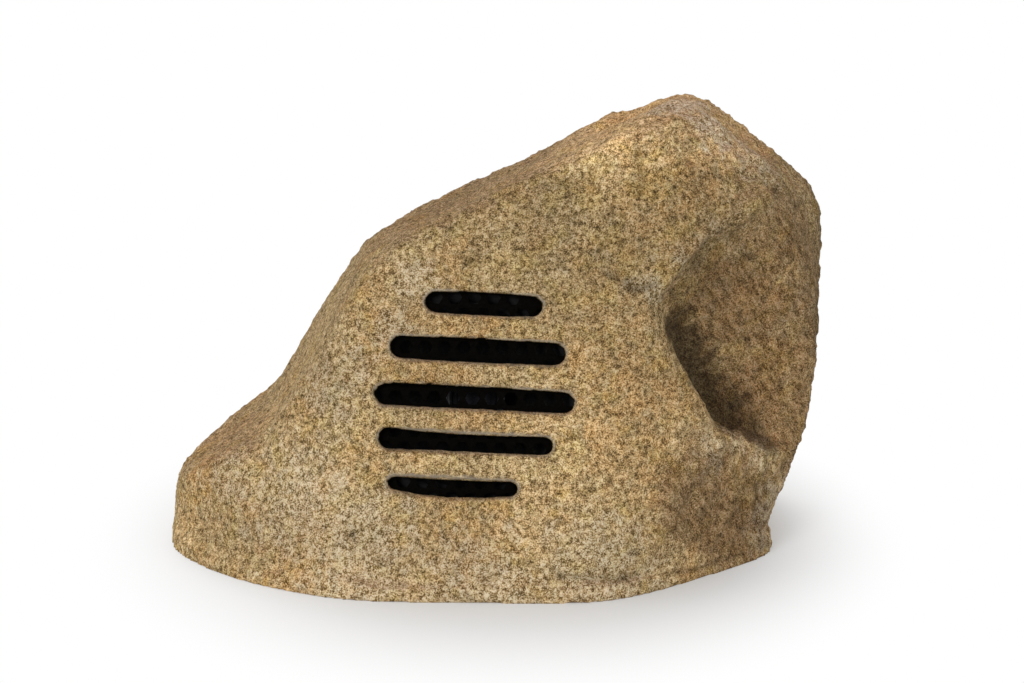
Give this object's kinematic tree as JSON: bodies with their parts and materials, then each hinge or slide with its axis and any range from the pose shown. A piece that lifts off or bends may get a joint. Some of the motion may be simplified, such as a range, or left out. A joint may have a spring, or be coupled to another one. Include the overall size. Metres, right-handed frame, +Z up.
{
  "type": "rock loudspeaker",
  "caption": "Hollow cast-stone garden loudspeaker shaped like a weathered boulder, with horizontal sound slots in front of a coaxial two-way driver.",
  "frame": {"origin": "on the ground under the middle of the rock's bounding box", "axes": "+Z up, the slotted front faces -Y, +X to the right as seen from the front"},
  "size_m": [0.52, 0.386, 0.354],
  "materials": {
    "cast_stone": "rough sandstone finish",
    "black_steel": "satin",
    "brass": "machined",
    "black_foam": "matte",
    "black_screw": "satin",
    "butyl_rubber": "matte",
    "paper_cone": "matte",
    "spider_cloth": "woven",
    "coil_former": "satin",
    "copper_wire": "enamelled",
    "zinc_steel": "zinc plated",
    "ferrite": "matte",
    "fibre_board": "matte",
    "tinned_brass": "satin",
    "black_plastic": "matte",
    "nickel_magnet": "plated",
    "silk_dome": "coated",
    "wadding": "fluffy",
    "base_board": "matte",
    "stainless": "satin",
    "nylon": "matte",
    "circuit_board": "satin",
    "film_capacitor": "gloss",
    "cement_resistor": "matte",
    "green_plastic": "matte",
    "red_wire": "satin"
  },
  "bodies": {
    "rock": {"rock_shell": "cast_stone", "grille_screen": "black_steel", "driver_inserts": "brass", "driver_gasket": "black_foam", "driver_screws": "black_screw", "basket": "black_steel", "top_plate": "zinc_steel", "ring_magnet": "ferrite", "yoke": "zinc_steel", "terminal_strip": "fibre_board", "terminal_tags": "tinned_brass", "tweeter_post": "zinc_steel", "post_nut": "zinc_steel", "tweeter_housing": "black_plastic", "tweeter_pot": "zinc_steel", "tweeter_magnet": "nickel_magnet", "tweeter_plate": "zinc_steel", "tweeter_faceplate": "black_plastic", "damping_pad": "wadding", "base_plate": "base_board", "base_gasket": "black_foam", "base_inserts": "brass", "base_screws": "stainless", "standoffs": "nylon", "crossover_board": "circuit_board", "board_screws": "stainless", "woofer_inductor": "copper_wire", "tweeter_inductor": "copper_wire", "capacitors": "film_capacitor", "resistor": "cement_resistor", "terminal_block": "green_plastic", "woofer_lead": "red_wire", "tweeter_lead": "red_wire", "gland_body": "black_plastic", "gland_locknut": "black_plastic", "gland_seal": "butyl_rubber", "gland_cap": "black_plastic"},
    "cone_assembly": {"cone": "paper_cone", "surround": "butyl_rubber", "voice_coil_former": "coil_former", "voice_coil": "copper_wire", "spider": "spider_cloth", "tinsel_leads": "copper_wire"},
    "tweeter_diaphragm": {"tweeter_coil": "copper_wire", "tweeter_dome": "silk_dome"}
  },
  "joints": [
    {"name": "cone_travel", "type": "slide", "parent": "rock", "child": "cone_assembly", "axis": [-0.0671, -0.9657, 0.251], "range_m": [-0.004, 0.004], "stiffness_N_per_m": 1400, "deforming": ["surround", "spider", "tinsel_leads"]},
    {"name": "tweeter_travel", "type": "slide", "parent": "rock", "child": "tweeter_diaphragm", "axis": [-0.0671, -0.9657, 0.251], "range_m": [-0.0003, 0.0003], "stiffness_N_per_m": 1500, "deforming": ["tweeter_dome"]}
  ]
}
